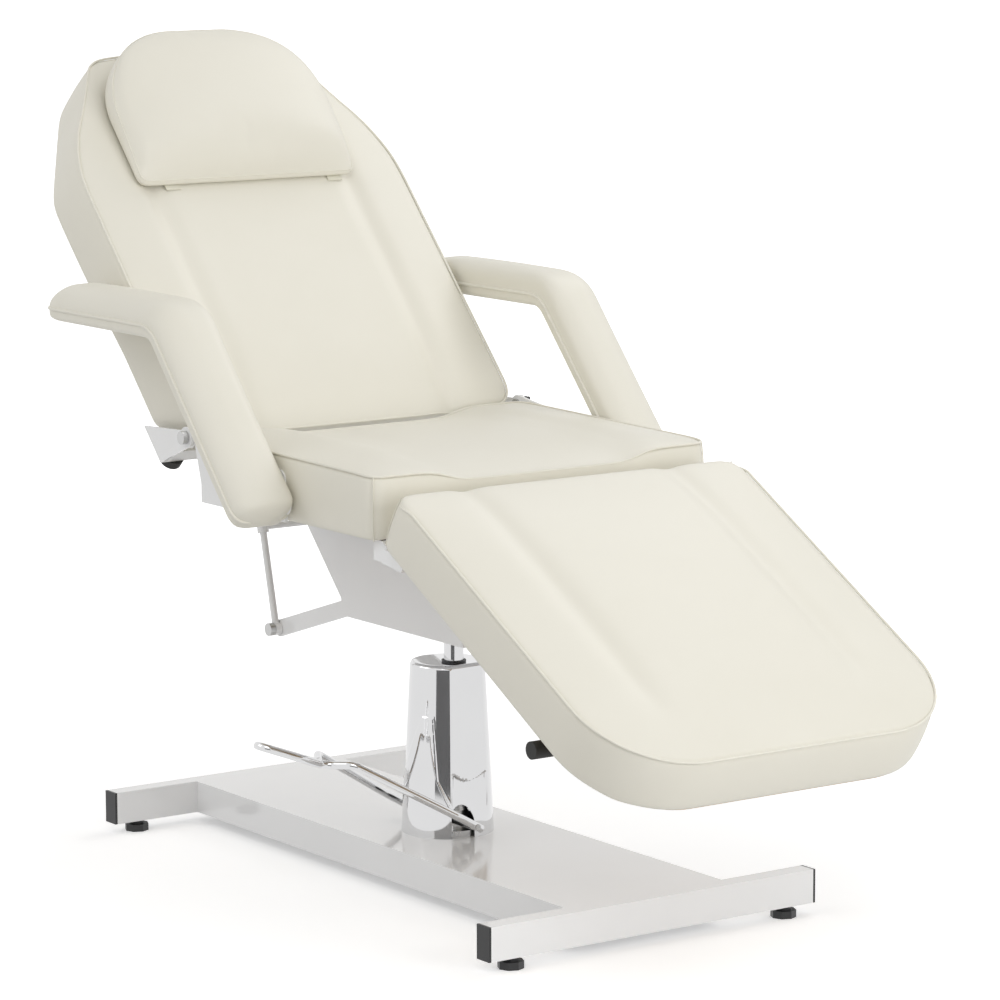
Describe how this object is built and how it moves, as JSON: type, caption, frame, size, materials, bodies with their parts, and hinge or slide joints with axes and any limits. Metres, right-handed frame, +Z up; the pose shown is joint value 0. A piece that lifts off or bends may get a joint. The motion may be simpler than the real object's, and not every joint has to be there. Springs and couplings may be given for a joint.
{
  "type": "hydraulic beauty chair",
  "caption": "Reclining hydraulic beauty treatment chair: padded seat, hinged back with head pillow, tilting leg rest and linked armrests on a swivelling pump column and flat base",
  "frame": {"origin": "on the floor under the centre of the base", "axes": "+Z up, +Y towards the head end of the chair, +X across the chair to the right as seen from the foot end looking at the backrest"},
  "size_m": [0.8, 1.6516, 1.2354],
  "materials": {
    "leatherette": "satin",
    "elastic": "matte",
    "white_paint": "gloss",
    "board_wood": "matte",
    "black_plastic": "satin",
    "black_rubber": "matte",
    "chrome": "polished",
    "steel": "zinc plated"
  },
  "bodies": {
    "base": {"base_cross_tubes": "white_paint", "base_top_plate": "white_paint", "base_side_webs": "white_paint", "base_end_caps": "black_plastic", "pump_block": "steel", "flange_bolts": "steel", "pump_cylinder": "steel", "pump_cover": "chrome", "cover_collar": "black_plastic"},
    "pedal": {"pedal_fork": "chrome", "pedal_shaft": "steel"},
    "column": {"piston_rod": "chrome"},
    "seat": {"column_socket": "white_paint", "bracket_floor": "white_paint", "bracket_cheeks": "white_paint", "seat_rails": "white_paint", "seat_cross_bars": "white_paint", "leg_hinge_lugs": "white_paint", "stay_bolts": "steel", "spring_cross_pin": "steel", "seat_board": "board_wood", "seat_pad": "leatherette", "seat_hinge_plates": "white_paint", "plate_bolts": "steel", "back_hinge_bolts": "steel", "armrest_pivot_pins": "steel"},
    "knob": {"hinge_knob": "black_plastic"},
    "back": {"back_board": "board_wood", "back_pad": "leatherette", "back_battens": "board_wood", "armrest_guide_pins": "steel", "back_cross_tube": "white_paint", "back_rails": "white_paint", "back_ears": "white_paint", "back_bumpers": "black_rubber", "stay_cheeks": "white_paint"},
    "pillow": {"head_pillow": "leatherette", "pillow_straps": "elastic"},
    "stay_rods": {"stay_rods": "white_paint"},
    "stay_sleeves": {"stay_sleeves": "white_paint"},
    "leg": {"leg_board": "board_wood", "leg_pad": "leatherette", "leg_cross_bar": "white_paint", "leg_rails": "white_paint", "leg_hinge_arms": "white_paint", "spring_lugs": "white_paint", "lever_post": "white_paint"},
    "spring_cylinder": {"spring_cylinder": "black_plastic"},
    "spring_rod": {"spring_rod": "chrome"},
    "lever": {"leg_lever": "chrome", "lever_grip": "black_rubber"},
    "armrest_left": {"armrest_pad_left": "leatherette", "armrest_plate_left": "white_paint"},
    "armrest_right": {"armrest_pad_right": "leatherette", "armrest_plate_right": "white_paint"},
    "foot_front_left": {"foot_front_left": "black_plastic"},
    "foot_front_right": {"foot_front_right": "black_plastic"},
    "foot_rear_left": {"foot_rear_left": "black_plastic"},
    "foot_rear_right": {"foot_rear_right": "black_plastic"}
  },
  "joints": [
    {"name": "turn_foot_front_left", "type": "hinge", "parent": "base", "child": "foot_front_left", "pos_m": [-0.2428, -0.512, 0.02], "axis": [0, 0, 1], "continuous": true},
    {"name": "turn_foot_front_right", "type": "hinge", "parent": "base", "child": "foot_front_right", "pos_m": [0.2428, -0.512, 0.02], "axis": [0, 0, 1], "continuous": true},
    {"name": "turn_foot_rear_left", "type": "hinge", "parent": "base", "child": "foot_rear_left", "pos_m": [-0.2428, 0.512, 0.02], "axis": [0, 0, 1], "continuous": true},
    {"name": "turn_foot_rear_right", "type": "hinge", "parent": "base", "child": "foot_rear_right", "pos_m": [0.2428, 0.512, 0.02], "axis": [0, 0, 1], "continuous": true},
    {"name": "pedal_press", "type": "hinge", "parent": "base", "child": "pedal", "pos_m": [-0.017, -0.005, 0.092], "axis": [0, -1, 0], "range_deg": [0, 24], "stiffness_Nm_per_rad": 20, "springref_deg": -14.32},
    {"name": "lift", "type": "slide", "parent": "base", "child": "column", "axis": [0, 0, 1], "range_m": [0, 0.15]},
    {"name": "swivel", "type": "hinge", "parent": "column", "child": "seat", "pos_m": [0, -0.022, 0.392], "axis": [0, 0, 1], "continuous": true},
    {"name": "knob_turn", "type": "hinge", "parent": "seat", "child": "knob", "pos_m": [0, 0.235, 0.664], "axis": [1, 0, 0], "continuous": true},
    {"name": "back_recline", "type": "hinge", "parent": "seat", "child": "back", "pos_m": [0, 0.235, 0.664], "axis": [1, 0, 0], "range_deg": [-47.2, 12]},
    {"name": "stay_swing", "type": "hinge", "parent": "seat", "child": "stay_rods", "pos_m": [0, 0.3, 0.341], "axis": [1, 0, 0], "range_deg": [-1.04, 3.22]},
    {"name": "stay_slide", "type": "slide", "parent": "stay_rods", "child": "stay_sleeves", "axis": [0, 0.2293, 0.9734], "range_m": [-0.11253, 0.02898]},
    {"name": "armrest_left_tilt", "type": "hinge", "parent": "seat", "child": "armrest_left", "pos_m": [0, -0.01861, 0.63004], "axis": [1, 0, 0], "range_deg": [-24.24, 6.39]},
    {"name": "armrest_right_tilt", "type": "hinge", "parent": "seat", "child": "armrest_right", "pos_m": [0, -0.01861, 0.63004], "axis": [1, 0, 0], "range_deg": [-24.24, 6.39]},
    {"name": "pillow_slide", "type": "slide", "parent": "back", "child": "pillow", "axis": [0, 0.6794, 0.7337], "range_m": [-0.04, 0]},
    {"name": "leg_tilt", "type": "hinge", "parent": "seat", "child": "leg", "pos_m": [0, -0.2647, 0.5492], "axis": [1, 0, 0], "range_deg": [-29.4, 20]},
    {"name": "spring_swing", "type": "hinge", "parent": "seat", "child": "spring_cylinder", "pos_m": [0, -0.17, 0.43], "axis": [1, 0, 0], "range_deg": [-14.52, 9.97]},
    {"name": "spring_slide", "type": "slide", "parent": "spring_cylinder", "child": "spring_rod", "axis": [0, -0.9808, 0.1948], "range_m": [-0.03241, 0.0474]},
    {"name": "lever_pull", "type": "hinge", "parent": "leg", "child": "lever", "pos_m": [-0.06, -0.63837, 0.33785], "axis": [0, -0.4909, 0.8712], "range_deg": [0, 12], "stiffness_Nm_per_rad": 2, "springref_deg": -20.05}
  ],
  "couplings": [
    {"joint": "stay_swing", "follows": "back_recline", "ratio": -0.0619},
    {"joint": "stay_slide", "follows": "back_recline", "m_per_rad": 0.13599},
    {"joint": "armrest_left_tilt", "follows": "back_recline", "ratio": 0.5072},
    {"joint": "armrest_right_tilt", "follows": "back_recline", "ratio": 0.5072},
    {"joint": "spring_swing", "follows": "leg_tilt", "ratio": 0.4837},
    {"joint": "spring_slide", "follows": "leg_tilt", "m_per_rad": -0.09141}
  ]
}
